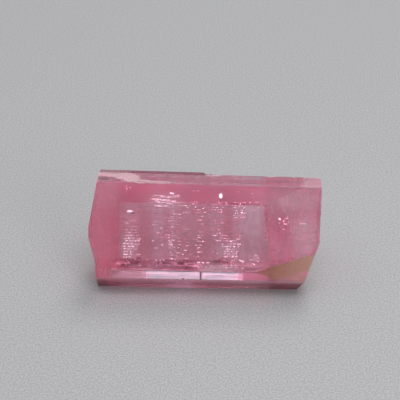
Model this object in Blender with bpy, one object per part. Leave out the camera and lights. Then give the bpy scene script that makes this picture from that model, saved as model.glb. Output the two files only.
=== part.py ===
"""A pink tourmaline crystal: one short striated prism that lies on one of its prism faces.

Metres, +Z up. The crystal's long axis runs along X and the viewer's side is -Y. The origin is
the middle of the bounding box, at the height of the face that the crystal rests on.
"""

import collections
import math
import random

import bmesh
import bpy
from mathutils import Vector

MM = 0.001
SEED = 41

# The section across the long axis.
# Each prism face has its width in mm, the way it looks in degrees (0 towards the viewer, 90 up,
# 180 away, 270 down), its number of growth strips, and how far in mm the strips' edges stand in
# or out. The faces follow each other from the front foot, over the top, to the back foot.
Face = collections.namedtuple("Face", "width looks strips relief")
PRISM_FACES = {
    "front_low": Face(2.80, -30, 6, 0.025),
    "bevel": Face(1.09, 6, 3, 0.010),
    "front": Face(9.85, 30, 20, 0.014),
    "shoulder": Face(0.78, 72, 4, 0.030),
    "top": Face(0.78, 90, 3, 0.025),
    "back": Face(7.46, 150, 18, 0.035),
    "back_low": Face(6.62, 208.5, 16, 0.035),
}
STRIP_WIDTHS = (0.4, 1.6)  # least and most, as shares of a face's mean strip
BASE_GROOVES = (0.17, 0.34, 0.78, 0.90)  # across the resting face, as shares of its width
GROOVE_WIDTH = 0.24  # mm
GROOVE_DEPTH = 0.035  # mm
SAME_PLACE = 1e-6  # mm, two corners nearer than this are one

# Along the long axis, in mm. The prism is built longer than the crystal and then cut to it.
STATIONS = (-15.0, -11.6, -9.5, -7.4, -5.0, -2.9, -1.1, 0.0, 1.9, 3.8, 6.1, 8.4, 10.9, 15.0)
TAPER = 0.0010  # how much of its size the section loses with each mm to the right
LEDGE_RISE = 0.26  # the top's back edge stands this much higher, mm, left of the ledge's step
LEDGE_STEP = (0.0, 1.9)  # where the step starts and ends, mm

# The end planes, in the front face's own directions: a plane crosses the front face `up` mm
# above its lower edge at `x`, `lean` is how x changes for each mm up the face, and `recede` how
# it changes for each mm behind the face, counted from `behind` mm.
EndPlane = collections.namedtuple("EndPlane", "x up lean recede behind")
LEFT_UPPER = EndPlane(-13.0, 4.8, 0.181, 0.07, 0.0)
LEFT_MIDDLE = EndPlane(-13.0, 4.2, 0.0, 0.12, 0.0)
LEFT_LOWER = EndPlane(-13.0, 3.7, -0.264, 0.10, 0.0)
LEFT_FOOT = EndPlane(-12.18, 0.6, 0.0, 0.0, 0.0)
LEFT_BACK = EndPlane(-12.6, 5.0, 0.0, 0.463, 2.0)
RIGHT_UPPER = EndPlane(13.0, 9.8, 0.010, -0.12, 0.0)
RIGHT_LOWER = EndPlane(12.94, 3.5, 0.334, -0.10, 0.0)
RIGHT_BACK = EndPlane(11.82, 5.0, -0.20, -1.05, 3.5)
BLOCK = 40.0  # mm, the side of the cube that a flat cutter is made from

# The right end is broken off. A broken surface has ribs in arcs round the point that was struck,
# which lies `up` the front face and `behind` it. The ribs are `pitch` apart and stand `rib` in
# and out, and the surface is `hollow` deep halfway to its last rib, all in mm.
Break = collections.namedtuple("Break", "plane up behind pitch rib hollow")
RIGHT_BREAKS = {
    "upper": Break(RIGHT_UPPER, 10.5, 0.5, 1.2, 0.030, 0.04),
    "lower": Break(RIGHT_LOWER, -0.5, 0.5, 1.1, 0.025, 0.04),
    "back": Break(RIGHT_BACK, 9.5, 4.5, 3.2, 0.030, 0.35),
}
RIB_REACH = 19.0  # mm from the point that was struck to the last rib
RIB_WAVE = 0.1  # how far a rib strays from a true arc, as a share of the pitch
RIB_WAVES = 3  # times that it strays out and in on the way round
RIB_GAPS = (0.75, 1.25)  # least and most, as shares of half the pitch
RIB_HEIGHTS = (0.3, 1.0)  # least and most, as shares of a break's rib
ARC_STEPS = 26  # straight pieces round a rib
CUTTER_DEPTH = 12.0  # mm, how far a broken surface's cutter reaches outwards

# The large chip at the lower right corner, through three points of (x, up, behind) in mm.
CHIP_TIP = (6.0, 0.0, 0.0)
CHIP_RIGHT = (12.5, 2.2, 0.0)
CHIP_FOOT = (8.5, -1.0, 0.44)
CHIP_STRUCK = 1.2  # from its right point, in steps from its tip to its foot, where it was struck
CHIP_HOLLOW = 0.05  # how far its middle is scooped out, mm
CHIP_PITCH = 1.4  # mm from one rib to the next
CHIP_RIB = 0.02  # mm
CHIP_REACH = 12.0  # mm

# Small scoops where an edge or a face was bruised: x, the corner of the section that it sits at,
# how far it is shifted along the face behind that corner, its half length, half width and depth,
# all in mm but the corner.
Scoop = collections.namedtuple("Scoop", "x corner shift long wide deep")
SCOOPS = (
    Scoop(-11.0, "top", 0.35, 1.10, 0.42, 0.15),
    Scoop(-9.9, "top", 0.20, 1.30, 0.52, 0.18),
    Scoop(-8.7, "top", -0.15, 1.15, 0.46, 0.16),
    Scoop(-7.1, "shoulder", 0.06, 0.85, 0.20, 0.12),
    Scoop(-5.9, "shoulder", 0.03, 0.70, 0.16, 0.09),
    Scoop(-4.8, "shoulder", 0.04, 0.85, 0.18, 0.10),
    Scoop(0.30, "back", 0.00, 0.42, 0.34, 0.20),
    Scoop(0.95, "back", -0.15, 0.36, 0.30, 0.17),
    Scoop(1.55, "back", 0.05, 0.40, 0.28, 0.15),
    Scoop(-11.3, "front", 0.05, 0.30, 0.14, 0.08),
    Scoop(-2.3, "bevel", 0.05, 0.35, 0.16, 0.09),
    Scoop(7.3, "back", 0.10, 0.60, 0.30, 0.12),
    Scoop(-6.2, "back_low", 0.15, 0.80, 0.36, 0.16),
    Scoop(2.6, "back_low", -0.10, 0.55, 0.30, 0.14),
    Scoop(4.6, "back_low", 0.05, 0.70, 0.34, 0.15),
    Scoop(-2.4, "base", -0.30, 0.60, 0.30, 0.13),
    Scoop(6.9, "base", -0.25, 0.75, 0.34, 0.14),
    Scoop(-9.9, "front_low", 0.30, 0.55, 0.26, 0.12),
)
SCOOP_ROUGHNESS = 0.16  # how uneven a scoop's surface is, as a share of its size

PINK = (0.72, 0.13, 0.22, 1.0)
ROUGHNESS = 0.05
IOR = 1.63
TRANSMISSION = 0.95


def clear_scene():
    for obj in list(bpy.data.objects):
        bpy.data.objects.remove(obj, do_unlink=True)


def section_corners():
    """Name of each prism face to the (y, z) of the corner where it starts, in mm."""
    corners = {}
    y, z = 0.0, 0.0
    for name, face in PRISM_FACES.items():
        corners[name] = (y, z)
        looks = math.radians(face.looks)
        y += face.width * math.sin(looks)
        z += face.width * math.cos(looks)
    corners["base"] = (y, 0.0)
    return corners


CORNERS = section_corners()
FRONT = math.radians(PRISM_FACES["front"].looks)
FRONT_EDGE = Vector((0.0, *CORNERS["front"]))
FRONT_UP = Vector((0.0, math.sin(FRONT), math.cos(FRONT)))
FRONT_INWARD = Vector((0.0, math.cos(FRONT), -math.sin(FRONT)))


def outline(rng):
    """The section's points as (corner or strip edge, outward direction, relief), all (y, z) mm."""
    points = []
    names = list(CORNERS)
    for name, following in zip(names, names[1:]):
        face = PRISM_FACES[name]
        start, end = Vector(CORNERS[name]), Vector(CORNERS[following])
        looks = math.radians(face.looks)
        outward = Vector((-math.cos(looks), math.sin(looks)))
        points.append((start, outward, 0.0))
        steps = [rng.uniform(*STRIP_WIDTHS) for _ in range(face.strips)]
        for strip in range(1, face.strips):
            share = sum(steps[:strip]) / sum(steps)
            points.append((start.lerp(end, share), outward, rng.uniform(-1, 1) * face.relief))
    points.append((Vector(CORNERS["base"]), Vector((0, -1)), 0.0))
    points += base_grooves()
    return points


def base_grooves():
    """Narrow grooves in the resting face, which is flat between them."""
    start, end = Vector(CORNERS["base"]), Vector(CORNERS["front_low"])
    down = Vector((0, -1))
    half = GROOVE_WIDTH / 2 / (start - end).length
    points = []
    for share in BASE_GROOVES:
        points.append((start.lerp(end, share - half), down, 0.0))
        points.append((start.lerp(end, share), down, -GROOVE_DEPTH))
        points.append((start.lerp(end, share + half), down, 0.0))
    return points


def ledge(x):
    """How far the top's back edge stands up at x, mm."""
    first, last = LEDGE_STEP
    return LEDGE_RISE * min(1.0, max(0.0, (last - x) / (last - first)))


def mesh_object(name, mesh_data):
    mesh = bpy.data.meshes.new(name)
    bmesh.ops.recalc_face_normals(mesh_data, faces=mesh_data.faces)
    mesh_data.to_mesh(mesh)
    mesh_data.free()
    obj = bpy.data.objects.new(name, mesh)
    bpy.context.scene.collection.objects.link(obj)
    return obj


def striated_prism():
    """The prism before it is cut: rings of the section, whose strips come and go along it."""
    rng = random.Random(SEED)
    points = outline(rng)
    top_back = Vector(CORNERS["back"])
    bm = bmesh.new()
    rings = []
    for x in STATIONS:
        size = 1 - TAPER * x
        ring = []
        for place, outward, relief in points:
            spot = place * size + outward * relief * rng.random()
            if (place - top_back).length < SAME_PLACE:
                spot.y += ledge(x)
            ring.append(bm.verts.new(Vector((x, spot.x, spot.y)) * MM))
        rings.append(ring)
    for near, far in zip(rings, rings[1:]):
        for i in range(len(points)):
            j = (i + 1) % len(points)
            bm.faces.new((near[i], near[j], far[j], far[i]))
    bm.faces.new(rings[0])
    bm.faces.new(rings[-1])
    bmesh.ops.triangulate(bm, faces=bm.faces)
    return mesh_object("tourmaline_crystal", bm)


def on_front(x, up, behind):
    """The place x along the crystal, up the front face and behind it, all mm."""
    place = FRONT_EDGE + FRONT_UP * up + FRONT_INWARD * behind
    return Vector((x, place.y, place.z)) * MM


def end_plane(plane):
    """A point on an end plane, and the direction that points out of the crystal."""
    side = math.copysign(1, plane.x)
    point = on_front(plane.x, plane.up, plane.behind)
    outward = Vector((1, 0, 0)) - FRONT_UP * plane.lean - FRONT_INWARD * plane.recede
    return point, outward.normalized() * side


def keep_beyond(bm, point, outward):
    """Cuts a closed block by a plane and keeps the part on the outward side."""
    geometry = bm.verts[:] + bm.edges[:] + bm.faces[:]
    bmesh.ops.bisect_plane(
        bm, geom=geometry, plane_co=point, plane_no=outward, clear_inner=True
    )
    rim = [edge for edge in bm.edges if edge.is_boundary]
    bmesh.ops.contextual_create(bm, geom=rim)


def flat_cutter(name, *planes):
    """What lies beyond all the given planes, within a large cube round the first one's point."""
    bm = bmesh.new()
    bmesh.ops.create_cube(bm, size=BLOCK * MM)
    bmesh.ops.translate(bm, verts=bm.verts, vec=planes[0][0])
    for point, outward in planes:
        keep_beyond(bm, point, outward)
    return as_cutter(mesh_object(name, bm))


def broken_block(struck, outward, pitch, rib, hollow, reach):
    """What lies beyond a broken surface: a disc round the point struck, with ribs in arcs."""
    rng = random.Random(SEED + round(struck.x / MM * 10))
    across = outward.orthogonal().normalized()
    along = outward.cross(across)
    bm = bmesh.new()
    centre = bm.verts.new(struck)
    rings = []
    distance = 0.0
    count = int(reach / pitch * 2)
    for step in range(1, count + 1):
        distance += pitch / 2 * rng.uniform(*RIB_GAPS)
        height = (rib if step % 2 else -rib) * rng.uniform(*RIB_HEIGHTS)
        height -= hollow * math.sin(math.pi * min(1.0, distance / reach))
        ring = []
        for piece in range(ARC_STEPS):
            turn = 2 * math.pi * (piece + 0.5 * (step % 2)) / ARC_STEPS
            radius = distance + pitch * RIB_WAVE * math.sin(RIB_WAVES * turn + step)
            side = across * math.cos(turn) + along * math.sin(turn)
            ring.append(bm.verts.new(struck + (side * radius + outward * height) * MM))
        rings.append(ring)
    for i in range(ARC_STEPS):
        bm.faces.new((centre, rings[0][i], rings[0][(i + 1) % ARC_STEPS]))
    for near, far in zip(rings, rings[1:]):
        for i in range(ARC_STEPS):
            j = (i + 1) % ARC_STEPS
            bm.faces.new((near[i], far[i], far[j], near[j]))
    bmesh.ops.triangulate(bm, faces=bm.faces)
    lifted = bmesh.ops.extrude_face_region(bm, geom=bm.faces[:])["geom"]
    lid = [item for item in lifted if isinstance(item, bmesh.types.BMVert)]
    for vert in lid:
        vert.co += outward * (CUTTER_DEPTH * MM - (vert.co - struck).dot(outward))
    return bm


def as_cutter(obj):
    obj.hide_render = True
    obj.display_type = "WIRE"
    return obj


def left_end_cutters():
    """Flat growth planes: two above the widest point, one below it that stops at the foot."""
    return [
        flat_cutter("cut_left_upper", end_plane(LEFT_UPPER)),
        flat_cutter("cut_left_middle", end_plane(LEFT_MIDDLE)),
        flat_cutter("cut_left_lower", end_plane(LEFT_LOWER), end_plane(LEFT_FOOT)),
        flat_cutter("cut_left_back", end_plane(LEFT_BACK)),
    ]


def right_end_cutters():
    """The broken surfaces of the right end, struck from different sides."""
    cutters = []
    for name, broken in RIGHT_BREAKS.items():
        plane, up, behind = broken.plane, broken.up, broken.behind
        x = plane.x + plane.lean * (up - plane.up) + plane.recede * (behind - plane.behind)
        outward = end_plane(plane)[1]
        struck = on_front(x, up, behind)
        bm = broken_block(struck, outward, broken.pitch, broken.rib, broken.hollow, RIB_REACH)
        cutters.append(as_cutter(mesh_object("cut_right_" + name, bm)))
    return cutters


def corner_chip_cutter():
    """The shallow chip at the lower right, which runs out along the foot of the bevel."""
    tip, right, foot = on_front(*CHIP_TIP), on_front(*CHIP_RIGHT), on_front(*CHIP_FOOT)
    outward = (foot - tip).cross(right - tip).normalized()
    if outward.dot(FRONT_INWARD) > 0:
        outward.negate()
    struck = right + (foot - tip) * CHIP_STRUCK
    bm = broken_block(struck, outward, CHIP_PITCH, CHIP_RIB, CHIP_HOLLOW, CHIP_REACH)
    keep_beyond(bm, foot, -FRONT_INWARD)
    return as_cutter(mesh_object("cut_corner_chip", bm))


def scoop_cutter(number, scoop):
    """A squashed, uneven ball that lies on a corner of the section."""
    rng = random.Random(SEED * 100 + number)
    names = list(CORNERS)
    before = names[names.index(scoop.corner) - 1]
    turns = [270 if name == "base" else PRISM_FACES[name].looks for name in (before, scoop.corner)]
    if turns[0] > turns[1]:
        turns[0] -= 360
    looks = math.radians(sum(turns) / 2)
    outward = Vector((0, -math.cos(looks), math.sin(looks)))
    along = Vector((0, math.sin(looks), math.cos(looks)))
    corner = Vector(CORNERS[scoop.corner]) * (1 - TAPER * scoop.x)
    centre = Vector((scoop.x, corner.x, corner.y)) + along * scoop.shift
    if scoop.corner == "back":
        centre.z += ledge(scoop.x)
    bm = bmesh.new()
    bmesh.ops.create_icosphere(bm, subdivisions=2, radius=1.0)
    for vert in bm.verts:
        x, y, z = vert.co * (1 + rng.uniform(-1, 1) * SCOOP_ROUGHNESS)
        local = Vector((x * scoop.long, 0, 0)) + along * y * scoop.wide + outward * z * scoop.deep
        vert.co = (centre + local) * MM
    return as_cutter(mesh_object(f"cut_scoop_{number:02d}", bm))


def cut(crystal, cutters):
    for cutter in cutters:
        modifier = crystal.modifiers.new(cutter.name, "BOOLEAN")
        modifier.operation = "DIFFERENCE"
        modifier.solver = "EXACT"
        modifier.object = cutter


def settle(crystal):
    """Applies the cuts and puts the origin at the bottom centre of the bounding box."""
    bpy.context.view_layer.update()
    evaluated = crystal.evaluated_get(bpy.context.evaluated_depsgraph_get())
    mesh = bpy.data.meshes.new_from_object(evaluated)
    crystal.modifiers.clear()
    crystal.data = mesh
    mesh.name = crystal.name
    lowest = [min(vert.co[axis] for vert in mesh.vertices) for axis in range(3)]
    highest = [max(vert.co[axis] for vert in mesh.vertices) for axis in range(3)]
    middle = [(low + high) / 2 for low, high in zip(lowest, highest)]
    for vert in mesh.vertices:
        vert.co -= Vector((middle[0], middle[1], lowest[2]))


def tourmaline():
    """Clear pink stone with a vitreous surface."""
    material = bpy.data.materials.new("pink_tourmaline")
    material.use_nodes = True
    shader = material.node_tree.nodes["Principled BSDF"]
    shader.inputs["Base Color"].default_value = PINK
    shader.inputs["Roughness"].default_value = ROUGHNESS
    shader.inputs["Metallic"].default_value = 0.0
    shader.inputs["IOR"].default_value = IOR
    shader.inputs["Transmission Weight"].default_value = TRANSMISSION
    material.diffuse_color = PINK
    return material


def main():
    clear_scene()
    crystal = striated_prism()
    cutters = left_end_cutters() + right_end_cutters() + [corner_chip_cutter()]
    cutters += [scoop_cutter(number, scoop) for number, scoop in enumerate(SCOOPS)]
    cut(crystal, cutters)
    settle(crystal)
    for cutter in cutters:
        bpy.data.objects.remove(cutter, do_unlink=True)
    crystal.data.materials.append(tourmaline())


main()
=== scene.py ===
# %% [markdown]
# # A pink tourmaline crystal
# The object is one short prism of clear pink stone that lies on one of its long faces. It grew as
# one piece, so it is one solid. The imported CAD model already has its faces, striations, broken end
# and chips. This lesson gives it the look of the real stone: see-through pink with a glassy skin,
# fine growth lines, cracks and bubbles inside, a frosted chip and a brown film on one corner.
# It could be painted on a picture and wrapped round the model, but nodes stay sharp at any size
# and follow the real faces, so everything here is made of nodes and mesh.

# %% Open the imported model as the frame
import math
import random

import bmesh
import bpy
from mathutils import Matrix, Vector


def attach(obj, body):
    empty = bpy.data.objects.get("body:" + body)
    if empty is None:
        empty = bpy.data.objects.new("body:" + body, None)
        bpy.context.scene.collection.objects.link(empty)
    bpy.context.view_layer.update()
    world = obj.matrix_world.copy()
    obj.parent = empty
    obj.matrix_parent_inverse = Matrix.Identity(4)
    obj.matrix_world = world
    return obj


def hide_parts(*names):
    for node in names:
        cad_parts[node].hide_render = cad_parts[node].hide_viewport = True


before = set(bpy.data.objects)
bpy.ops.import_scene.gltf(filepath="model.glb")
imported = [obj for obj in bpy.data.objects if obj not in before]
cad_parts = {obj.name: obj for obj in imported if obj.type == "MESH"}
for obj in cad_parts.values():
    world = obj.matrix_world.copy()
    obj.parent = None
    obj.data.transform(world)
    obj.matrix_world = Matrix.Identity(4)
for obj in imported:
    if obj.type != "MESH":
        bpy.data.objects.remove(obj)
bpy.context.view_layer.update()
MM = 0.001

# %% [markdown]
# ## The stone's own directions
# Places in the stone are easiest to give as they are seen: `x` along the crystal, `up` the wide
# front face from its lower edge, and `behind` that face. They could be typed in as x, y and z, but
# the front face leans back by 30 degrees, so a function turns them, and the numbers stay readable.

# %% Places in the stone
LEAN = math.radians(30)
FRONT_EDGE = Vector((0.0, -5.066, 3.509))  # mm, the lower edge of the front face at x = 0
FRONT_UP = Vector((0.0, math.sin(LEAN), math.cos(LEAN)))
INWARD = Vector((0.0, math.cos(LEAN), -math.sin(LEAN)))


def spot(x, up, behind):
    """A place in the stone, given in mm as it is seen, in metres of the model."""
    return (Vector((x, 0.0, 0.0)) + FRONT_EDGE + FRONT_UP * up + INWARD * behind) * MM


print("middle of the front face, mm:", [round(v / MM, 2) for v in spot(0, 5, 0)])

# %% [markdown]
# ## The section of the prism
# Cut across, the prism has eight sides. Where each starts and the way it looks are the same
# numbers as in the CAD model. They tell which face a polygon belongs to, and the slight taper of
# the prism turns any place in the stone into a place in this section.

# %% The eight long faces
SECTION_Y = -3.780  # mm, the line that the taper shrinks towards
TAPER = 0.001       # the share of its size that the section loses per mm of length
CORNERS = {  # mm, y and z where each face starts
    "front_low": (0.0, 0.0), "bevel": (-1.4, 2.425), "front": (-1.286, 3.509),
    "shoulder": (3.639, 12.039), "top": (4.381, 12.280), "back": (5.161, 12.280),
    "back_low": (8.891, 5.819), "base": (5.732, 0.0),
}
LOOKS = {  # degrees: 0 looks to the viewer, 90 up
    "front_low": -30, "bevel": 6, "front": 30, "shoulder": 72,
    "top": 90, "back": 150, "back_low": 208.5, "base": 270,
}


def outward(name):
    """The direction a long face looks in."""
    looks = math.radians(LOOKS[name])
    return Vector((0.0, -math.cos(looks), math.sin(looks)))


print(len(CORNERS), "long faces; the front looks", [round(v, 2) for v in outward("front")])

# %% [markdown]
# ## Striations that are deep only where they show
# Tourmaline has fine ribs along its length. On the real stone they are strong on the back, and
# almost gone on the narrow faces, on the face underneath and near the foot. The CAD solid has
# them on all these faces. Bump could fake the difference, but a rib's real shape bends the light
# inside the stone, so a copy of the mesh has its ribs moved part of the way to the flat face.

# %% Take some of the ribs out
CALM = {  # share of a rib's height taken out, the share near the foot of the face, up to z in mm
    "front_low": (0.8, 0.8, 0.0), "front": (0.0, 0.85, 5.6), "shoulder": (0.75, 0.75, 0.0),
    "top": (0.5, 0.5, 0.0), "back": (0.2, 0.2, 0.0), "back_low": (0.3, 1.0, 2.2),
}
RIB_HEIGHT = 0.06   # mm, more than any rib stands off its face
CORNER_ROOM = 0.02  # mm, points this close to a corner stay where they are
ENDS = 12.5 * MM    # beyond this the end faces and their chips are left alone


def calm(bm):
    """Moves points part of the way to the plane of their face, and gives how many it moved."""
    names = list(CORNERS)
    moved = 0
    for v in bm.verts:
        if abs(v.co.x) > ENDS:
            continue
        size = 1 - TAPER * v.co.x / MM
        flat = Vector((0.0, v.co.y / MM - SECTION_Y, v.co.z / MM)) / size
        for name, (share, foot_share, foot) in CALM.items():
            out = outward(name)
            start = Vector((0.0, *CORNERS[name]))
            end = Vector((0.0, *CORNERS[names[(names.index(name) + 1) % len(names)]]))
            along = (flat - start).dot((end - start).normalized())
            off = (flat - start).dot(out)
            if abs(off) < RIB_HEIGHT and CORNER_ROOM < along < (end - start).length - CORNER_ROOM:
                if flat.z < foot:
                    share = foot_share
                v.co -= out * off * share * size * MM
                moved += 1
                break
    return moved


print("faces to calm:", list(CALM))

# %% The stone's mesh
SAME_POINT = 1e-7  # metres
bm = bmesh.new()
bm.from_mesh(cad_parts["tourmaline_crystal"].data)
bmesh.ops.remove_doubles(bm, verts=bm.verts, dist=SAME_POINT)
print("calmed", calm(bm), "points")
bm.normal_update()
stone_mesh = bpy.data.meshes.new("tourmaline_crystal_stone")
bm.to_mesh(stone_mesh)
print("stone:", len(stone_mesh.vertices), "vertices,", len(stone_mesh.polygons),
      "faces, open edges", sum(not e.is_manifold for e in bm.edges))
bm.free()
stone = bpy.data.objects.new("tourmaline_stone", stone_mesh)
bpy.context.scene.collection.objects.link(stone)
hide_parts("tourmaline_crystal")
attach(stone, "root")

# %% [markdown]
# ## Which face is which
# Every face of the stone has its own finish: glassy, satin, etched, darkened by painted shade or
# filmed. There could be one material per face, but their patterns run on across the edges. So there
# is one material, and the mesh tells it by numbers on its polygons which face it is on. The chipped
# corner is found by its plane, the ends by how far they look along the crystal, the rest by their
# direction.

# %% Name the polygons
CHIP = [spot(6.0, 0.0, 0.0), spot(12.5, 2.2, 0.0), spot(8.5, -1.0, 0.44)]
CHIP_NORMAL = (CHIP[2] - CHIP[0]).cross(CHIP[1] - CHIP[0]).normalized()
CHIP_STARTS = 5.8 * MM
CHIP_NEAR = 0.3 * MM
CHIP_ALIKE = 0.993  # how closely a polygon looks the chip's way
END_LOOKS = 0.3     # a polygon that looks along x by more than this is on an end
BACK_FOOT_TOP = 2.2 * MM


def face_of(polygon):
    """Which face of the crystal a polygon belongs to."""
    n = polygon.normal
    if polygon.center.x > CHIP_STARTS and abs(n.dot(CHIP_NORMAL)) > CHIP_ALIKE:
        if abs((polygon.center - CHIP[0]).dot(CHIP_NORMAL)) < CHIP_NEAR:
            return "film"
    if abs(n.x) > END_LOOKS:
        return "left" if n.x < 0 else "right"
    looks = math.degrees(math.atan2(n.z, -n.y)) % 360
    name = min(LOOKS, key=lambda k: abs((LOOKS[k] - looks + 180) % 360 - 180))
    if name == "back_low" and polygon.center.z < BACK_FOOT_TOP:
        return "back_foot"
    return name


face_names = [face_of(polygon) for polygon in stone_mesh.polygons]
print("polygons per face:", {name: face_names.count(name) for name in sorted(set(face_names))})

# %% Write each polygon's finish into the mesh
SATIN = {  # roughness: a growth face is glassy, a broken or etched one is satin
    "front": 0.03, "bevel": 0.02, "shoulder": 0.10, "top": 0.06, "front_low": 0.25, "back": 0.10,
    "back_low": 0.14, "back_foot": 0.04, "base": 0.05, "left": 0.28, "right": 0.26, "film": 0.45,
}
FINISHES = {  # how much of each finish the faces have
    "satin": SATIN,
    "film": {"film": 1.0},
    "etched": {"back_low": 1.0, "back_foot": 1.0},
    "undercut": {"front_low": 1.0},
    "broken": {"right": 1.0, "left": 0.45},
    "bevelled": {"bevel": 1.0},
    "wide_front": {"front": 1.0},
}
for finish, shares in FINISHES.items():
    numbers = stone_mesh.attributes.new(finish, "FLOAT", "FACE")
    for polygon, name in zip(stone_mesh.polygons, face_names):
        numbers.data[polygon.index].value = shares.get(name, 0.0)
print("finishes:", list(FINISHES))

# %% [markdown]
# ## Colours and nodes
# Colours are written as a picture shows them, as hex values, and one function turns them into the
# linear values that Blender calculates with. Materials could be built by hand in the node editor.
# In code, one small function adds a node with its settings and links, and gives its output to the
# next one, so a line reads like a sum: `add("MULTIPLY", streaks, blotches)`.

# %% Helpers for colours and nodes
def linear(hex_colour):
    """An sRGB hex colour as linear red, green, blue and alpha."""
    parts = [int(hex_colour[i:i + 2], 16) / 255 for i in (1, 3, 5)]
    return (*[p / 12.92 if p <= 0.04045 else ((p + 0.055) / 1.055) ** 2.4 for p in parts], 1.0)


def add(kind, *inputs, out="", stops=(), **settings):
    """Adds a node to tree, the material in hand, and gives the output called out, or the first.

    Its inputs are filled in their order, and those in a last dict by name, with a number, a hex
    colour or another node's output. stops are the places and tones of a colour ramp. A kind in
    capitals is the operation of a Math node.
    """
    if kind.isupper():
        kind, settings = "Math", {"operation": kind}
    node = tree.nodes.new("ShaderNode" + kind)
    for name, value in settings.items():
        setattr(node, name, value)
    for number, (place, tone) in enumerate(stops):
        elements = node.color_ramp.elements
        element = elements[number] if number < 2 else elements.new(place)
        element.position = place
        element.color = linear(tone) if isinstance(tone, str) else (tone, tone, tone, 1.0)
    named = inputs[-1] if inputs and isinstance(inputs[-1], dict) else {}
    in_order = [value for value in inputs if value is not named]
    sockets = [socket for socket in node.inputs if socket.enabled]
    by_name = [(node.inputs[name], value) for name, value in named.items()]
    for socket, value in [*zip(sockets, in_order), *by_name]:
        if isinstance(value, bpy.types.NodeSocket):
            tree.links.new(value, socket)
        else:
            socket.default_value = linear(value) if isinstance(value, str) else value
    return node.outputs[out] if out else next((s for s in node.outputs if s.enabled), None)


def new_material(name):
    """An empty material and its node tree, which becomes the tree in hand."""
    material = bpy.data.materials.new(name)
    material.use_nodes = True
    material.node_tree.nodes.clear()
    return material, material.node_tree


print("#fad0e2 is", [round(v, 3) for v in linear("#fad0e2")])

# %% [markdown]
# ## Pink tourmaline, and where in it a point is
# The material is natural pink tourmaline, a gem whose growth faces shine like glass. It is clear,
# so its colour comes from the light that it takes up inside, and its skin only adds scratches,
# frost and stains. Patterns could use Blender's own object coordinates, but those are in metres
# and don't know the taper, so they are turned into mm of the untapered section here.

# %% Start the stone's material
tourmaline, tree = new_material("pink_tourmaline")
in_mm = add("VectorMath", add("TexCoord", out="Object"), 1 / MM, operation="SCALE")
parts = add("SeparateXYZ", in_mm).node.outputs
x_mm = parts["X"]
size = add("MULTIPLY_ADD", x_mm, -TAPER, 1.0)
across = add("DIVIDE", add("SUBTRACT", parts["Y"], SECTION_Y), size)
height = add("DIVIDE", parts["Z"], size)
section = add("CombineXYZ", x_mm, across, height)
print("nodes:", len(tree.nodes))

# %% [markdown]
# ## Patterns at their real size
# A growth pattern is noise stretched along the crystal, given as bumps per mm along x, y and z.
# Growth lines on tourmaline are 8 mm long and about 0.14 mm apart, so theirs is 0.12, 7, 7. The
# finest are 0.07 mm apart, which is less than a pixel, so they only soften veils and bruised
# edges. Grit on broken places is 0.1 to 0.2 mm, and crumbs are 0.3 to 0.5 mm. Image textures
# could give more detail, but would show seams on a stone that is looked through from all sides.

# %% Growth patterns
def growth(per_mm, detail=2.0):
    """Noise in the stone, with so many bumps per mm along x, y and z."""
    stretched = add("Mapping", section, {"Scale": per_mm})
    return add("TexNoise", stretched, 1.0, detail)


lines = growth((0.12, 7.0, 7.0), 3.0)
fine = growth((0.5, 14.0, 14.0))
grit = growth((5.0, 9.0, 9.0), 3.0)
crumbs = growth((2.2, 3.5, 3.5), 3.0)
print("nodes:", len(tree.nodes))

# %% Ragged patches, and tones along the crystal
RAGGED = 0.9     # how far crumbs push the rim of a patch in and out, in its radii
RIM = 1.45       # the ragged distance at which a patch is half as strong
SOFT_RIM = 0.35  # how far its rim fades to both sides
X_FROM, X_TO = -13.5, 12.5  # mm, the span of a ramp along the crystal
WOBBLE = 0.7     # mm, how far the borders between tones wander


def patch(centre, radii, ragged, soft=SOFT_RIM):
    """1 inside an egg-shaped region of the section, 0 outside, with a ragged rim."""
    moved = add("VectorMath", section, centre, operation="SUBTRACT")
    shrunk = add("VectorMath", moved, radii, operation="DIVIDE")
    distance = add("VectorMath", shrunk, operation="LENGTH")
    return add("MapRange", add("MULTIPLY_ADD", ragged, RAGGED, distance),
               RIM - soft, RIM + soft, 1.0, 0.0)


def strongest(*marks):
    """The strongest of several marks at each point."""
    found = marks[0]
    for mark in marks[1:]:
        found = add("MAXIMUM", found, mark)
    return found


def tones_along(stops, place, low=X_FROM, high=X_TO):
    """Greys or hex colours at places in mm along the crystal, blended in between."""
    share = add("MapRange", place, low, high)
    return add("ValToRGB", share, stops=[((at - low) / (high - low), tone) for at, tone in stops])


wobbly_x = add("MULTIPLY_ADD", growth((0.6, 1.2, 1.2)), WOBBLE, add("SUBTRACT", x_mm, WOBBLE / 2))
print("nodes:", len(tree.nodes))
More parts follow.
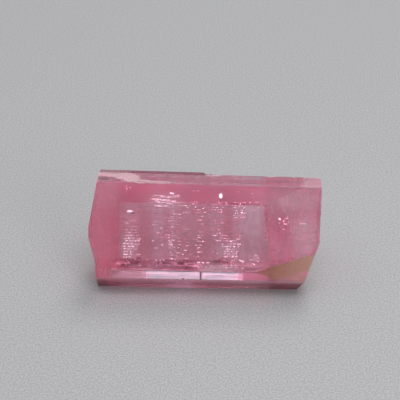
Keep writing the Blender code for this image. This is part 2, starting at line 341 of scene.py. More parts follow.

# %% [markdown]
# ## The frosted chip and the bruised edges
# A flake broke off the left end of the top edge. A fresh break in clear stone looks white, because
# thousands of tiny cracks scatter the light. The white thins out along the edge. Below it the dark
# of a small recess is painted shade, and a pale line along the upper edge of the wide front face is
# partly a bruise and partly a painted highlight. The chip itself is in the mesh, so the nodes only
# give it its frost.

# %% Frost, bruises, and painted shade and highlight
FROST = (  # centre and radii in the section, mm
    ((-10.7, 4.85, 12.55), (1.6, 0.6, 0.6)), ((-9.2, 4.6, 12.4), (1.4, 0.6, 0.5)),
    ((-8.3, 4.2, 12.25), (0.9, 0.6, 0.45)), ((-7.0, 3.75, 12.08), (1.0, 0.22, 0.16)),
    ((-5.3, 3.7, 12.05), (1.6, 0.16, 0.12)),
)
BRUISES_AND_HIGHLIGHT = (  # centre, radii, the pattern that makes the rim ragged, strength
    ((0.9, 5.1, 12.4), (1.1, 0.25, 0.3), grit, 0.7),      # a nick in the ridge
    # a pale line painted along the edge of the front face: partly a bruise, partly the highlight the
    # edge catches
    ((0.0, 3.60, 12.02), (40.0, 0.08, 0.08), fine, 0.4),  # the edge of the front face
    ((-4.5, 5.14, 12.36), (9.0, 0.16, 0.2), grit, 0.35),  # the edge behind it
)
frost = strongest(*[patch(centre, radii, grit) for centre, radii in FROST])
# the dark of a small recess below the chip, painted as its shade
painted_hollow_shade = patch((-11.2, 4.0, 12.12), (0.75, 0.3, 0.14), grit)
# the bruises, and the painted highlight on the edge of the front face
bruises_and_highlight = [add("MULTIPLY", patch(centre, radii, ragged), strength)
           for centre, radii, ragged, strength in BRUISES_AND_HIGHLIGHT]
white = strongest(frost, *bruises_and_highlight)
print("frosted and bruised places:", len(FROST) + len(BRUISES_AND_HIGHLIGHT))

# %% [markdown]
# ## The etched back, seen through the stone
# Hot fluids in the ground ate a little of the crystal's back. Through the front that shows as
# upright zones of paler and deeper pink, each a stage of growth, with fine streaks in them. Each
# zone could be a patch, but a ramp along x with a wobble gives all their soft borders at once.
# Noise lies between about 0.3 and 0.7. So each pattern's Map Range node says between which values
# of the noise it grows, and then how weak it starts and how strong it gets.

# %% Growth zones
ZONE_TONES = (
    (-10.4, "#c4607c"), (-9.5, "#d88ca0"), (-8.9, "#f0b4c2"), (-7.8, "#f0b0be"), (-7.5, "#e898aa"),
    (-6.2, "#e896a8"), (-5.9, "#ecc8dc"), (-5.0, "#ecc8dc"), (-4.8, "#ec9cb0"), (-4.2, "#ec9cb0"),
    (-4.0, "#f4ccdc"), (-3.0, "#f0bccd"), (-1.2, "#e4acbb"), (0.3, "#e4a6b5"), (0.8, "#ecbccc"),
    (1.9, "#ecbccc"), (2.2, "#e49cae"), (3.0, "#e49cae"), (3.3, "#f4d4e0"), (4.5, "#fbf0f5"),
    (6.2, "#fbf4f8"), (6.5, "#ecbcc8"), (7.2, "#e8a4b2"),
)
MOTTLE_TONE = "#dc8ca2"
mottle = add("MapRange", growth((2.4, 1.1, 1.1), 4.0), 0.42, 0.62, 0.0, 0.6)
zones = add("Mix", mottle, tones_along(ZONE_TONES, wobbly_x), MOTTLE_TONE, data_type="RGBA")
print("growth zones:", len(ZONE_TONES))

# %% Etching
ETCHED_ALONG = (
    (-9.9, 0.75), (-7.6, 0.7), (-7.3, 0.45), (-6.0, 0.5), (-5.8, 0.9), (-2.9, 0.95), (-2.6, 0.55),
    (-1.2, 0.5), (-1.0, 0.8), (-0.2, 0.8), (0.1, 0.5), (0.9, 0.45), (1.1, 0.85), (3.8, 0.9),
    (4.4, 0.4), (4.7, 0.05), (6.9, 0.10), (7.2, 0.8),
)
STRONG_ABOVE = 1.9, 2.4  # mm, the heights between which the strong etching sets in
WEAK_BELOW = 3.4, 1.6    # mm, the heights between which the weak etching of the foot sets in
etched = add("Attribute", out="Fac", attribute_name="etched")
streaks = add("MapRange", lines, 0.38, 0.60, 0.25, 1.0)
blotches = add("MapRange", growth((0.7, 0.6, 0.6), 4.0), 0.38, 0.62, 0.35, 1.0)
above_foot = add("MapRange", height, *STRONG_ABOVE)
etch = add("MULTIPLY", add("MULTIPLY", tones_along(ETCHED_ALONG, wobbly_x), streaks), blotches)
etch = add("MULTIPLY", etch, above_foot)
low_crumbs = add("MapRange", crumbs, 0.36, 0.55, 0.0, 0.25)
low_etch = add("MULTIPLY", add("MapRange", height, *WEAK_BELOW), low_crumbs)
etch = add("MULTIPLY", add("MAXIMUM", etch, low_etch), etched)
print("nodes:", len(tree.nodes))

# %% [markdown]
# ## Veils and blushes under the front face
# The wide front face is clear, but the stone behind it isn't even: there are milky veils of tiny
# bubbles, places where the pink is deeper, and faint threads along the crystal. They could be
# sheets inside the stone, but each sheet costs light bounces and grain in the picture. They are
# put into the front face's own clearness and tint instead.

# %% Soft patches on the front face
VEILS = (  # x, up, half length, half height in mm, and the clearness that is lost
    (11.4, 4.2, 1.8, 2.8, 0.20), (10.0, 8.4, 3.6, 1.5, 0.16), (-11.3, 8.4, 1.6, 1.6, 0.13),
    (-11.5, 4.0, 1.4, 4.0, 0.05), (-5.0, 1.9, 4.5, 1.3, 0.04), (3.5, 1.9, 4.5, 1.2, 0.04),
    (-5.1, 4.3, 0.8, 1.8, 0.05), (6.0, 4.8, 1.4, 2.6, 0.03), (8.5, 3.0, 1.8, 1.4, 0.07),
    (-4.6, 7.8, 1.9, 0.9, 0.14), (1.8, 0.35, 2.0, 0.55, 0.24), (-6.3, 0.3, 1.6, 0.45, 0.10),
    (-8.4, 2.6, 0.9, 1.2, 0.16), (2.5, 2.5, 1.3, 0.9, 0.16), (-4.2, 2.5, 1.0, 1.2, 0.10),
)
BLUSHES = (  # the same, and how much deeper the pink is
    (8.9, 4.5, 1.0, 1.3, 0.8), (-8.2, 8.5, 1.4, 1.0, 0.7), (-0.4, 8.4, 1.2, 0.8, 0.5),
    (-7.0, 4.0, 0.7, 3.2, 0.5), (2.6, 5.6, 0.6, 2.0, 0.4), (12.5, 4.5, 0.3, 5.0, 0.5),
)
VERY_SOFT_RIM = 0.6
wide_front = add("Attribute", out="Fac", attribute_name="wide_front")


def on_front(patches):
    """The strongest of some soft patches on the front face."""
    marks = []
    for x, up, half_length, half_height, strength in patches:
        centre = (x, CORNERS["front"][0] + FRONT_UP.y * up, CORNERS["front"][1] + FRONT_UP.z * up)
        soft_patch = patch(centre, (half_length, half_height, half_height), crumbs, VERY_SOFT_RIM)
        marks.append(add("MULTIPLY", soft_patch, strength))
    return add("MULTIPLY", strongest(*marks), wide_front)


blush = on_front(BLUSHES)
veil = add("MULTIPLY", on_front(VEILS), add("MapRange", fine, 0.35, 0.6, 0.75, 1.0))
print("patches on the front face:", len(VEILS) + len(BLUSHES))

# %% Veins and threads
veins = add("MapRange", growth((0.9, 1.3, 1.3), 4.0), 0.36, 0.64, 0.0, 0.45)
veins = add("MULTIPLY", veins, wide_front)
threads = add("MapRange", growth((0.35, 2.6, 2.6), 3.0), 0.54, 0.66, 0.0, 0.5)
threads = add("MULTIPLY", threads, wide_front)
print("nodes:", len(tree.nodes))

# %% [markdown]
# ## The foot of the front face
# Just above the bright bevel the stone is flawed, and dark red places and paler ones alternate.
# The light that comes through here has been thrown about inside. Modelling every flaw would take
# hundreds of grains, so this band gets tones along x, some roughness, and soft waves of 0.6 to
# 1 mm that break up what it mirrors.

# %% Tones and waves at the foot
FOOT_TONES = (
    (-12.0, "#ecc0cc"), (-9.9, "#e0a8b6"), (-9.3, "#a06a7e"), (-6.9, "#a8708a"), (-6.0, "#c49cb2"),
    (-3.7, "#bc98b0"), (-2.6, "#966a82"), (-1.2, "#9a7288"), (-0.6, "#f0d2e2"), (0.8, "#f2d6e6"),
    (1.3, "#9c6e84"), (2.4, "#a67a90"), (3.0, "#e6ccd8"), (6.0, "#f0d8e2"), (7.0, "#e8bcc8"),
)
FOOT_BELOW = 4.75, 4.45  # mm, the heights between which its tones set in
WAVES_BELOW = 4.6, 4.2   # mm, and its waves
foot_tone = tones_along(FOOT_TONES, wobbly_x)
front_foot = add("MULTIPLY", add("MapRange", height, *FOOT_BELOW), wide_front)
foot_colour = add("MULTIPLY", front_foot, add("MapRange", crumbs, 0.34, 0.56, 0.4, 1.0))
foot_waves = add("MULTIPLY", growth((1.6, 0.9, 0.9)), add("MapRange", height, *WAVES_BELOW))
foot_waves = add("MULTIPLY", foot_waves, wide_front)
print("tones at the foot:", len(FOOT_TONES))

# %% [markdown]
# ## The bright bevel
# A narrow polished bevel runs along the foot of the front face. By way of the back it mirrors the
# light overhead, and on a third of it that highlight is also painted in near-white tones, so it
# shines nearly white, in lines 0.17 mm apart. A lamp could be aimed at it, but then it would shine
# from one side only. Towards both ends the painted highlight gives way to duller, rougher tones,
# darkest at the right, and one thin crack crosses it.

# %% Bevel
# where along the bevel its highlight is painted, from none to full
SHEEN_ALONG = ((-11.8, 0.0), (-10.0, 0.35), (-6.9, 0.45), (-6.0, 1.0), (3.4, 1.0), (4.6, 0.0))
# the bevel's ends: a fainter painted highlight at the left, painted shade at the right
DULL_TONES = (
    (-12.4, "#e0bcc6"), (-10.4, "#d8b8c2"), (-9.6, "#bca4b0"), (-5.5, "#bcaab6"), (2.2, "#a894a2"),
    (4.2, "#846070"), (8.0, "#8a6474"),
)
# near-white tones of the painted highlight, deep and pale in lines
PAINTED_SHEEN_DEEP, PAINTED_SHEEN_PALE = "#a7d0d6", "#ccfcfd"
CRACK_X = -0.33  # mm
CRACK_RIM = 0.07, 0.11  # mm from its middle, where it starts to fade and where it ends
bevelled = add("Attribute", out="Fac", attribute_name="bevelled")
uncracked = add("MapRange", add("ABSOLUTE", add("SUBTRACT", x_mm, CRACK_X)), *CRACK_RIM)
crack = add("MULTIPLY", add("SUBTRACT", 1.0, uncracked), bevelled)
clean = add("MULTIPLY", tones_along(SHEEN_ALONG, wobbly_x), uncracked)
painted_sheen_bevel = add("MULTIPLY", bevelled, clean)
dull_bevel = add("SUBTRACT", bevelled, painted_sheen_bevel)
dull_tone = tones_along(DULL_TONES, wobbly_x)
painted_sheen_lines = add("MapRange", growth((0.05, 6.0, 6.0), 3.0), 0.40, 0.60)
painted_sheen = add("Mix", painted_sheen_lines, PAINTED_SHEEN_DEEP, PAINTED_SHEEN_PALE, data_type="RGBA")
print("the bevel is clean over", SHEEN_ALONG[4][0] - SHEEN_ALONG[3][0], "mm")

# %% [markdown]
# ## The brown film and the painted shade of the undercut
# Ground water left a thin brown film of iron oxide on the chipped corner. The face that slopes in
# underneath is painted with shade: dark red-brown tones that stand for the shadow under the
# overhang, paler higher up. A film could be a second skin of mesh, but it is thinner than a hair and
# only colour, so nothing is raised. It runs from reddish at its tip to pale tan at the end of the
# stone.

# %% Film, and painted shade on the undercut
FILM_TONES = (
    (6.5, "#a86254"), (8.4, "#9c685a"), (9.6, "#a87a66"), (11.6, "#be927e"), (13.5, "#c8a08e"),
    (15.0, "#dcb4a6"),
)
# dark red-brown tones of the painted shade on the undercut, along the crystal
UNDERCUT_SHADE_TONES = (
    (-12.3, "#381820"), (-11.2, "#44202a"), (-10.9, "#a05c6c"), (-4.6, "#b06c82"),
    (-3.2, "#d8a8c2"), (-1.8, "#e0b4ca"), (-0.8, "#b8788c"), (0.5, "#9c5c6a"), (5.0, "#8a5258"),
    (6.5, "#5c3430"), (10.5, "#4c2c28"),
)
FILM_X = 6.0, 16.0   # mm, the span of the film's tones
FILM_WANDER = 3.0    # mm, how far they wander along the crystal
TAN_STRENGTH = 0.65  # a thinner film round the chipped corner
# the painted shade turns paler higher up the undercut
UPPER_SHADE_TONE, UPPER_SHARE = "#ffe2ee", 0.9
SHADE_LIFTS_ABOVE = 1.3, 2.4  # mm, the heights between which the stain turns paler
tan = patch((11.0, -1.2, 3.0), (3.0, 1.2, 1.2), crumbs, soft=0.4)
tan = add("MULTIPLY", tan, TAN_STRENGTH)
film = add("MAXIMUM", add("Attribute", out="Fac", attribute_name="film"), tan)
film_tone = tones_along(FILM_TONES, add("MULTIPLY_ADD", crumbs, FILM_WANDER, x_mm), *FILM_X)
undercut = add("Attribute", out="Fac", attribute_name="undercut")
undercut_shade = tones_along(UNDERCUT_SHADE_TONES, wobbly_x)
paler_undercut_shade = add("Mix", UPPER_SHARE, undercut_shade, UPPER_SHADE_TONE, data_type="RGBA")
paler = add("MapRange", height, *SHADE_LIFTS_ABOVE)
undercut_shade = add("Mix", paler, undercut_shade, paler_undercut_shade, data_type="RGBA")
print("film and stain tones:", len(FILM_TONES) + len(UNDERCUT_SHADE_TONES))

# %% [markdown]
# ## The two ends
# The right end is a break. Tourmaline breaks as glass does, in shells with fine ribs, and the
# high places are scuffed to a haze. The large steps of the break are in the CAD model. What is
# smaller than 1 mm is bump here, because as mesh it would take a hundred thousand faces. The
# left end is smoother and gets less than half of it.

# %% Shells and haze
RIB_TURNS = 90.0  # radians that a rib's wave runs through from noise 0 to 1
WORN_FROM_X = 10.6, 11.6       # mm, where the wear of the right end of the top sets in
WORN_FROM_HEIGHT = 11.7, 11.9  # mm
broken = add("Attribute", out="Fac", attribute_name="broken")
clusters = add("MapRange", growth((0.3, 0.35, 0.35), 3.0), 0.4, 0.6, 0.2, 1.0)
haze = add("MULTIPLY", add("MapRange", crumbs, 0.38, 0.60, 0.1, 1.0), clusters)
haze = add("MULTIPLY", haze, broken)
ribs = add("SINE", add("MULTIPLY", growth((0.45, 0.45, 0.45), 1.0), RIB_TURNS))
ribs = add("MULTIPLY", ribs, add("MapRange", crumbs, 0.48, 0.62, 0.0, 0.2))
lumps = add("MapRange", growth((0.9, 0.6, 0.6), 3.0), 0.35, 0.65, 0.0, 5.0)
shells = add("MULTIPLY", add("ADD", lumps, ribs), broken)
end_wear = add("MULTIPLY", add("MapRange", x_mm, *WORN_FROM_X),
               add("MapRange", height, *WORN_FROM_HEIGHT))
print("nodes:", len(tree.nodes))

# %% [markdown]
# ## One colour, one clearness, one roughness
# The patterns come together in order, each laid over the one before, as a painter glazes. Whatever
# scatters light, such as frost, film or etching, takes clearness away and adds roughness. Separate
# shaders could be mixed instead, but one shader keeps the stone's skin in one piece.

# %% Colour
SKIN_TONE = "#fad0e2"
# the strip on top gets a duskier tone, painted shade
SHADED_TOP_STRIP = 11.9, 12.05  # mm, the heights between which the strip on top sets in
LAYERS = (  # how strong, and the tone
    (veins, "#f7bfd4"),
    (threads, "#ffe5f3"),
    (blush, "#f3b1ca"),
    (foot_colour, foot_tone),
    # painted shade: a duskier tone on the strip on top
    (add("MapRange", height, *SHADED_TOP_STRIP), "#dab6c8"),
    (film, film_tone),
    # fainter painted highlight and painted shade at the bevel's ends
    (dull_bevel, dull_tone),
    # painted highlight on the middle of the bevel
    (painted_sheen_bevel, painted_sheen),
    (crack, "#593845"),
    # painted shade on the undercut
    (add("MULTIPLY", undercut, 0.9), undercut_shade),
    (add("MULTIPLY", etch, 0.5), "#f1b1c8"),
    (add("MULTIPLY", veil, 4.0), "#fae5f1"),
    (add("MULTIPLY", haze, 0.30), "#fdecf3"),
    # frost and bruises, and the painted highlight on the front face's edge
    (white, "#c2a2a7"),
    # painted shade in the recess below the chip
    (add("MULTIPLY", painted_hollow_shade, 0.85), "#5a3038"),
)
colour = add("Mix", etched, SKIN_TONE, zones, data_type="RGBA")
for strength, tone in LAYERS:
    colour = add("Mix", strength, colour, tone, data_type="RGBA")
print("layers of colour:", len(LAYERS))

# %% Clearness and roughness
CLEAREST, CLOUDIEST = 0.90, 0.12
# the undercut is cloudier near the board, so more of its painted shade shows there
UNDERCUT_FALL = 1.1, 0.3      # mm, the heights between which the undercut grows cloudier
UNDERCUT_CLOUDS = 0.22, 0.50  # how cloudy it is above and below
CLOUDED_BY = (  # what, and the share of clearness it takes
    (film, 0.60), (strongest(white, painted_hollow_shade), 0.60), (etch, 0.35),
    (add("MULTIPLY", undercut, add("MapRange", height, *UNDERCUT_FALL, *UNDERCUT_CLOUDS)), 1.0),
    (painted_sheen_bevel, 0.30), (crack, 0.85), (veil, 1.0), (haze, 0.22),
)
ROUGHENED_BY = (  # what, and the roughness it adds
    (white, 0.40), (etch, 0.45), (haze, 0.35), (dull_bevel, 0.30), (front_foot, 0.15),
    (end_wear, 0.35),
)
clear = CLEAREST
for mark, share in CLOUDED_BY:
    clear = add("MULTIPLY_ADD", mark, -share, clear)
clear = add("MAXIMUM", clear, CLOUDIEST)
roughness = add("Attribute", out="Fac", attribute_name="satin")
for mark, share in ROUGHENED_BY:
    roughness = add("MULTIPLY_ADD", mark, share, roughness)
print("clouded by", len(CLOUDED_BY), "and roughened by", len(ROUGHENED_BY), "marks")

# %% [markdown]
# ## Relief and the finished material
# What is too fine for the mesh is bump: growth lines everywhere, grit in the frost, waves at the
# foot and shells on the ends, as heights in units of 0.02 mm. Tourmaline bends light with an IOR
# of 1.63. The pink itself could be the skin's tint, but then thick and thin places would look
# alike. It is volume absorption, which takes green out of light more the further it goes.

# %% Relief and shader
RELIEF_UNIT = 0.02 * MM
RELIEF_STRENGTH = 0.4
FROST_RELIEF, WAVE_RELIEF = 3.0, 5.0  # in relief units
IOR = 1.63
PINK = "#fc50a6"
TAKEN_UP = 42.0  # per metre, so 12 mm of stone lets 63 % of the green through
relief = add("MULTIPLY_ADD", add("MULTIPLY", frost, grit), FROST_RELIEF, lines)
relief = add("MULTIPLY_ADD", foot_waves, WAVE_RELIEF, relief)
relief = add("ADD", relief, shells)
bump = add("Bump", {"Height": relief, "Strength": RELIEF_STRENGTH, "Distance": RELIEF_UNIT})
skin = add("BsdfPrincipled", {"Base Color": colour, "Roughness": roughness, "IOR": IOR,
                              "Transmission Weight": clear, "Normal": bump})
pink_inside = add("VolumeAbsorption", PINK, TAKEN_UP)
add("OutputMaterial", skin, pink_inside)
stone_mesh.materials.append(tourmaline)
print("nodes in the stone's material:", len(tree.nodes))

# %% [markdown]
# ## Grains inside the stone
# Fluid inclusions and healed cracks are flat, shiny films in the crystal. At the right tilt they
# flash like small mirrors, and otherwise they hardly show. They could be dots of paint on the
# skin, but would then stay bright from every side. Each is a thin six-sided flake of real mesh.
# Its lean, halfway between the view and the lamp after the light has bent at the front face, is
# what makes it flash.

# %% One grain
BRIGHT = 0.28          # how far a grain leans back from the front face to mirror the lamp
ASIDE = 0.037          # its sideways tilt at x = 0
ASIDE_PER_MM = 0.0036  # how much less it tilts with each mm to the right
SIDES = 6
ASKEW = 0.05           # how far its length strays from the crystal's
UNEVEN_TURNS = 0.25    # how far a point of its ring strays, as a share of a side
UNEVEN_SIZES = 0.75, 1.15


def flake(bm, centre, half_length, half_height, rng, lean=BRIGHT, jitter=0.1, flatness=0.07,
          thinnest=0.003, slant=0.0):
    """A flat grain: a ring of points with a low point before and behind it. Sizes are in mm."""
    along = (Vector((1, rng.uniform(-ASKEW, ASKEW), rng.uniform(-ASKEW, ASKEW)))
             - FRONT_UP * math.tan(math.radians(slant))).normalized()
    aside = ASIDE - ASIDE_PER_MM * centre.x / MM
    out = (-INWARD + FRONT_UP * (lean + rng.uniform(-jitter, jitter))
           + Vector((aside + rng.uniform(-jitter, jitter), 0, 0)))
    out = (out - along * out.dot(along)).normalized()
    side = out.cross(along)
    ring = []
    for k in range(SIDES):
        turn = 2 * math.pi * (k + rng.uniform(-UNEVEN_TURNS, UNEVEN_TURNS)) / SIDES
        size = rng.uniform(*UNEVEN_SIZES)
        ring.append(bm.verts.new(centre + (along * math.cos(turn) * half_length * size
                                           + side * math.sin(turn) * half_height * size) * MM))
    thick = max(thinnest, min(half_length, half_height) * flatness)
    front = bm.verts.new(centre + out * thick * MM)
    back = bm.verts.new(centre - out * thick * MM)
    for k in range(SIDES):
        a, b = ring[k], ring[(k + 1) % SIDES]
        bm.faces.new((a, b, front))
        bm.faces.new((b, a, back))


print("a grain has", 2 * SIDES, "faces")

# %% [markdown]
# ## Ladders of healed cracks
# The most striking things in the stone are its ladders: upright columns of short dashes, in rows
# 0.25 to 0.5 mm apart. Each row is a crack that healed. An array would space the dashes evenly,
# and the real ones are not, so every row draws its own from a seeded generator. Many real dashes
# are finer than these, which are drawn about a pixel thick so that they show.

# %% Where the ladders are
LADDERS = (  # x from and to, up from and to, behind, row step, share kept, half sizes, tilt spread
    (-9.2, -7.5, 1.4, 3.8, 1.0, 0.30, 0.85, 0.20, 0.090, 0.08),
    (-9.1, -7.6, 3.8, 5.6, 1.2, 0.36, 0.60, 0.16, 0.065, 0.12),
    (-9.0, -8.4, 8.7, 9.5, 0.6, 0.26, 0.80, 0.09, 0.060, 0.10),
    (-4.6, -2.9, 1.3, 4.0, 1.2, 0.32, 0.60, 0.16, 0.075, 0.12),
    (-4.5, -2.9, 4.0, 7.6, 1.4, 0.36, 0.42, 0.14, 0.060, 0.14),
    (-3.9, -3.4, 1.3, 7.6, 0.9, 0.36, 0.70, 0.11, 0.075, 0.14),
    (-6.0, -4.7, 2.4, 6.2, 1.6, 0.44, 0.38, 0.20, 0.055, 0.14),
    (-2.6, -1.4, 1.3, 7.4, 1.6, 0.48, 0.28, 0.15, 0.055, 0.15),
    (-1.1, -0.3, 1.6, 4.0, 1.3, 0.42, 0.80, 0.18, 0.065, 0.10),
    (-1.1, -0.3, 4.0, 6.6, 1.4, 0.40, 0.42, 0.13, 0.055, 0.15),
    (0.9, 3.8, 1.6, 4.2, 1.3, 0.32, 0.60, 0.21, 0.070, 0.12),
    (2.2, 3.5, 1.7, 3.2, 0.9, 0.26, 0.85, 0.15, 0.085, 0.08),
    (1.2, 1.8, 4.2, 7.2, 1.2, 0.42, 0.55, 0.13, 0.060, 0.15),
    (3.1, 4.5, 6.1, 7.8, 1.0, 0.28, 0.65, 0.11, 0.070, 0.13),
    (-2.6, 3.1, 6.6, 7.9, 1.2, 0.28, 0.32, 0.10, 0.060, 0.15),
    (4.6, 7.0, 6.9, 7.9, 1.2, 0.32, 0.26, 0.11, 0.050, 0.15),
    (8.2, 9.7, 4.9, 6.4, 0.8, 0.36, 0.22, 0.12, 0.045, 0.14),
    (-1.0, 4.3, 0.4, 1.3, 0.8, 0.25, 0.40, 0.18, 0.075, 0.12),
    (-8.8, -4.0, 0.5, 1.3, 0.9, 0.30, 0.22, 0.18, 0.060, 0.15),
    (5.2, 6.6, 1.0, 2.0, 0.8, 0.28, 0.35, 0.16, 0.065, 0.12),
    (-7.0, 10.0, 8.4, 9.4, 0.9, 0.35, 0.03, 0.18, 0.035, 0.15),
)
print("ladders:", len(LADDERS))

# %% Dashes in rows
SEED = 7
ROW_START = 0.0, 0.3     # mm from the ladder's side to a row's first dash
ROW_DEPTH = 0.3          # mm, how far rows lie before and behind each other
ROW_STEPS = 0.85, 1.15   # shares of the ladder's row step
DASH_SIZES = 0.4, 1.6    # shares of its half length
DASH_HEIGHTS = 0.6, 1.2  # shares of its half thickness
DASH_LIFT = 0.03         # mm, how far a dash strays up or down in its row
GAPS = 0.02, 0.16        # mm between two dashes
THINNEST_DASH = 0.002    # mm
rng = random.Random(SEED)
healed = bmesh.new()
for x_from, x_to, up_from, up_to, behind, step, kept, length, thickness, spread in LADDERS:
    up = up_from
    while up < up_to:
        x = x_from + rng.uniform(*ROW_START)
        depth = behind + rng.uniform(-ROW_DEPTH, ROW_DEPTH)
        lean = BRIGHT + rng.uniform(-spread, spread)
        while x < x_to:
            half = length * rng.uniform(*DASH_SIZES)
            if rng.random() < kept:
                centre = spot(x + half, up + rng.uniform(-DASH_LIFT, DASH_LIFT), depth)
                flake(healed, centre, half, thickness * rng.uniform(*DASH_HEIGHTS), rng,
                      lean=lean, jitter=0.5 * spread, thinnest=THINNEST_DASH)
            x += 2 * half + rng.uniform(*GAPS)
        up += step * rng.uniform(*ROW_STEPS)
print("dashes:", len(healed.faces) // (2 * SIDES))

# %% [markdown]
# ## Bubbles that flash, and a fan of streaks
# A few large fluid bubbles flash brightly, among them one like a drop and a group that slants
# above the bevel. Smaller ones only glimmer, and a fan of fine streaks hangs below the top edge.
# They could be strewn at random too, but a stone is known by such marks, so each large one has
# its own place.

# %% Bright and dim flecks
FLECKS = (  # x, up, behind, half length, half height, mm
    (1.77, 8.49, 0.5, 0.22, 0.34), (-3.67, 8.75, 0.6, 0.28, 0.10), (-8.40, 6.60, 0.6, 0.34, 0.13),
    (4.26, 1.20, 0.6, 0.34, 0.14), (5.6, 0.85, 0.6, 0.24, 0.08), (-3.84, 3.2, 0.8, 0.10, 0.06),
    (8.41, 6.04, 0.5, 0.15, 0.16), (4.17, 6.68, 0.7, 0.14, 0.08), (9.20, 6.14, 0.5, 0.20, 0.06),
    (11.0, 5.56, 0.5, 0.42, 0.04),
)
DIM_FLECKS = (
    (-8.78, 9.40, 0.5, 0.10, 0.07), (-8.78, 9.15, 0.5, 0.12, 0.07), (-8.80, 8.88, 0.5, 0.09, 0.06),
    (9.10, 5.50, 0.6, 0.22, 0.07), (8.86, 5.82, 0.6, 0.06, 0.20), (9.40, 5.72, 0.6, 0.07, 0.14),
    (-0.17, 7.08, 0.7, 0.12, 0.06), (5.33, 8.90, 0.6, 0.08, 0.06), (4.0, 7.69, 0.6, 0.12, 0.06),
    (1.22, 5.8, 0.7, 0.10, 0.06), (1.22, 5.4, 0.7, 0.10, 0.05), (6.0, 1.2, 0.6, 0.22, 0.06),
    (5.3, 1.35, 0.7, 0.16, 0.05), (-1.0, 3.44, 2.0, 0.35, 0.03), (-0.7, 2.55, 2.0, 0.26, 0.03),
    (-0.6, 1.99, 2.0, 0.22, 0.03), (2.4, 3.44, 1.5, 1.5, 0.02), (11.85, 8.40, 0.6, 0.10, 0.05),
)
SLANTED_FROM_X, SLANTED_TO_X, SLANTED_BELOW = 4, 7, 2  # mm, the group above the bevel
LOW_SLANT = 22  # degrees
bubbles = bmesh.new()
for x, up, behind, half_length, half_height in FLECKS:
    slanted = SLANTED_FROM_X < x < SLANTED_TO_X and up < SLANTED_BELOW
    flake(bubbles, spot(x, up, behind), half_length, half_height, rng, jitter=0.03, flatness=0.04,
          slant=LOW_SLANT if slanted else 0)
for x, up, behind, half_length, half_height in DIM_FLECKS:
    flake(healed, spot(x, up, behind), half_length, half_height, rng, jitter=0.15, flatness=0.06)
print("flecks:", len(FLECKS) + len(DIM_FLECKS))

# %% The fan of streaks
STREAKS = 44
FAN_X, FAN_SPREAD = -4.5, 1.0  # mm, its middle and how wide it scatters
FAN_UP = 7.2, 8.5              # mm
FAN_BEHIND = 0.6, 1.6          # mm
STREAK_HALF_LENGTH = 0.25, 0.8
STREAK_HALF_HEIGHT = 0.02, 0.05
for number in range(STREAKS):
    x = rng.gauss(FAN_X, FAN_SPREAD)
    centre = spot(x, rng.uniform(*FAN_UP), rng.uniform(*FAN_BEHIND))
    flake((bubbles, healed)[number % 2], centre, rng.uniform(*STREAK_HALF_LENGTH),
          rng.uniform(*STREAK_HALF_HEIGHT), rng, jitter=0.10)
print("streaks:", STREAKS)

# %% [markdown]
# ## Dark red spots
# Near the foot, and in a few places higher up, small grains of a reddish mineral were grown over.
# One dark flake among them, just below the bright bubble at the upper left, is a painted shadow of
# that bubble. Dots of colour on the skin would do from the front, but these can be seen from the
# side too, so they are fatter flakes of the same kind that look straight out of the front face.

# %% Dark spots
SPOTS = (  # x, up, behind, half length, half height, mm
    # the first is no grain but a painted shadow below the bright bubble at x = -8.4
    (-8.0, 6.42, 0.75, 0.38, 0.13), (-8.3, 1.20, 0.4, 0.60, 0.18), (-7.8, 0.85, 0.4, 0.60, 0.24),
    (-7.3, 1.35, 0.4, 0.30, 0.16), (-4.3, 0.85, 0.4, 0.50, 0.16), (-2.6, 0.85, 0.4, 0.55, 0.20),
    (-2.0, 1.10, 0.4, 0.32, 0.15), (2.0, 1.20, 0.4, 0.50, 0.20), (2.7, 0.95, 0.4, 0.36, 0.15),
    (-0.8, 1.2, 0.5, 0.12, 0.24), (1.75, 8.00, 0.7, 0.14, 0.22), (-5.1, 0.9, 0.5, 0.12, 0.28),
    (-5.9, 1.0, 0.5, 0.10, 0.32), (11.9, 8.35, 0.6, 0.17, 0.09), (6.9, 6.2, 3.8, 0.035, 1.2),
    (-10.2, 1.3, 0.5, 0.14, 0.05), (3.9, 0.6, 0.4, 0.30, 0.09), (-6.6, 0.55, 0.4, 0.40, 0.10),
)
SPOT_SLANT = 8  # degrees, all but the tall thin one
TALL = 1.0      # mm of half height
dark_spots = bmesh.new()
for x, up, behind, half_length, half_height in SPOTS:
    flake(dark_spots, spot(x, up, behind), half_length, half_height, rng, lean=0.0, jitter=0.1,
          flatness=0.2, slant=SPOT_SLANT if half_height < TALL else 0)
print("dark spots:", len(SPOTS))

# %% [markdown]
# ## What the grains are made of
# A film of fluid or gas in the stone throws light back almost as metal does, so fluid inclusions
# and healed cracks are pale, smooth and mostly metallic to the eye. Dark inclusions are mineral
# grains with a rough skin, and the painted shadow by the bright bubble shares their material. Glass
# flakes would be truer, but light would have to cross many more faces. Noise of 0.4 mm, about one
# grain, varies the tone, because no two of them are alike.

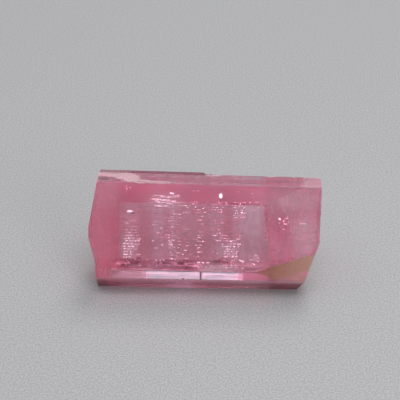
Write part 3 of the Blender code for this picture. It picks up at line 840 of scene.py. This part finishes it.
# %% Grain materials and pieces
GRAINS = (  # piece, mesh, deeper and paler tone, roughness, metallic
    ("fluid_inclusions", bubbles, "#f8f2f5", "#fffeff", 0.22, 0.8),   # clear flashes, nearly white
    ("healed_cracks", healed, "#f4e8f0", "#fef6fc", 0.27, 0.8),       # softer, a little pink
    ("dark_inclusions_and_shadow", dark_spots, "#be728b", "#d2869f", 0.6, 0.0),  # dull, old rose
)
TONE_NOISE = 2.5 / MM
for name, bm, deeper, paler, rough, metallic in GRAINS:
    material, tree = new_material(name)
    varied = add("TexNoise", add("TexCoord", out="Object"), TONE_NOISE)
    tone = add("ValToRGB", varied, stops=((0.3, deeper), (0.7, paler)))
    add("OutputMaterial", add("BsdfPrincipled", {"Base Color": tone, "Roughness": rough,
                                                 "Metallic": metallic}))
    bmesh.ops.recalc_face_normals(bm, faces=bm.faces)
    mesh = bpy.data.meshes.new(name)
    bm.to_mesh(mesh)
    bm.free()
    mesh.materials.append(material)
    grains = bpy.data.objects.new(name, mesh)
    bpy.context.scene.collection.objects.link(grains)
    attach(grains, "root")
    print(name, len(mesh.polygons), "faces")

# %% [markdown]
# ## The board it lies on
# The stone lies on a plain board with matt grey paint. The paint has a grain of about 0.2 mm,
# which shows as a fine speckle beside so small a stone, and a flat grey would look like fog.
# The board is a hair below the resting face, so that the two don't fight for the same place.

# %% Floor
BOARD_HALF = 1.5  # metres
BOARD_DOWN = 0.02 * MM
PAINT_GRAIN = 5 / MM  # bumps per metre, so 0.2 mm each
PAINT_DEEP, PAINT_PALE = "#8d8d8e", "#a7a7a8"
bm = bmesh.new()
bmesh.ops.create_grid(bm, x_segments=1, y_segments=1, size=BOARD_HALF)
board_mesh = bpy.data.meshes.new("board")
bm.to_mesh(board_mesh)
bm.free()
board = bpy.data.objects.new("board", board_mesh)
bpy.context.scene.collection.objects.link(board)
board.location.z = -BOARD_DOWN
board_paint, tree = new_material("matt_grey_paint")
speckle = add("TexNoise", add("TexCoord", out="Object"), PAINT_GRAIN, 2.0)
paint = add("ValToRGB", speckle, stops=((0.3, PAINT_DEEP), (0.7, PAINT_PALE)))
add("OutputMaterial", add("BsdfPrincipled", {"Base Color": paint, "Roughness": 0.9,
                                             "Specular IOR Level": 0.1}))
board_mesh.materials.append(board_paint)
print("board:", 2 * BOARD_HALF, "m wide")

# %% [markdown]
# ## Soft studio light
# A clear stone shows what is round it, so the light is part of its look. The room is dim near the
# horizon, bright above and a little brighter behind. The bevel and the flecks mirror a softbox
# overhead. A panel behind shines through the stone and tints its shadow, and a weak one fills the
# right end. A studio picture round the scene could do the same, but would have to be a file.

# %% Room light
ROOM_TONES = ((0.0, "#3e3e40"), (0.3, "#6e6e6f"), (0.75, "#fcfcff"))  # from the horizon upwards
ROOM_STRENGTH = 0.927
BRIGHTER_BEHIND = 0.15
room = bpy.data.worlds.new("soft_room_light")
bpy.context.scene.world = room
room.use_nodes = True
tree = room.node_tree
tree.nodes.clear()
direction = add("SeparateXYZ", add("TexCoord", out="Generated")).node.outputs
lifted = add("MULTIPLY_ADD", direction["Y"], BRIGHTER_BEHIND, direction["Z"])
room_tone = add("ValToRGB", lifted, stops=ROOM_TONES)
add("OutputWorld", add("Background", room_tone, ROOM_STRENGTH))
print("room light:", len(tree.nodes), "nodes")

# %% Lamps
LAMPS = (  # name, diameter in metres, watts, place
    ("softbox", 0.15, 0.22, (0.025, -0.042, 0.25)),
    ("window_panel", 0.24, 2.2, (0.14, 0.402, 0.573)),
    ("fill_panel", 0.10, 0.09, (0.12, -0.15, 0.12)),
)
for name, diameter, watts, where in LAMPS:
    lamp = bpy.data.lights.new(name, "AREA")
    lamp.shape = "DISK"
    lamp.size = diameter
    lamp.energy = watts
    holder = bpy.data.objects.new(name, lamp)
    bpy.context.scene.collection.objects.link(holder)
    holder.location = where
    holder.rotation_euler = (-holder.location).to_track_quat("-Z", "Y").to_euler()
    print(name, "is", round(holder.location.length, 3), "m from the stone")

# %% [markdown]
# ## The camera
# The stone is seen from a little to the right of its front and from 36 degrees above the board.
# The lens sees 20 degrees from 13 cm away. A longer lens from further off would flatten the
# prism. These values were fitted to the stone's corners.

# %% Camera
AZIMUTH, ELEVATION = math.radians(1.67), math.radians(36.19)
DISTANCE = 0.12799  # metres
FIELD = math.radians(20)
SENSOR = 36         # mm
TARGET = Vector((-0.56, 0.24, 9.56)) * MM
towards = Vector((math.sin(AZIMUTH) * math.cos(ELEVATION),
                  -math.cos(AZIMUTH) * math.cos(ELEVATION), math.sin(ELEVATION)))
camera_data = bpy.data.cameras.new("camera")
camera_data.sensor_width = SENSOR
camera_data.lens = SENSOR / 2 / math.tan(FIELD / 2)
camera_data.clip_start = MM
camera = bpy.data.objects.new("camera", camera_data)
bpy.context.scene.collection.objects.link(camera)
camera.location = TARGET + towards * DISTANCE
camera.rotation_euler = (-towards).to_track_quat("-Z", "Y").to_euler()
bpy.context.scene.camera = camera
print("lens, mm:", round(camera_data.lens, 1))

# %% [markdown]
# ## Light paths
# Light turns many times in a clear prism before it comes out, so its paths are long. Shiny paths
# aren't blurred, because that would change the light that the stone throws on the board. A filmic
# view transform would soften the highlights, but the plain one keeps the colours as chosen.

# %% Path settings
PATH_LENGTH = 48
cycles = bpy.context.scene.cycles
cycles.max_bounces = PATH_LENGTH
cycles.glossy_bounces = PATH_LENGTH
cycles.transmission_bounces = PATH_LENGTH
cycles.diffuse_bounces = 4
cycles.sample_clamp_indirect = 6
cycles.blur_glossy = 0.0
bpy.context.scene.view_settings.view_transform = "Standard"
print("paths up to", PATH_LENGTH, "bounces")
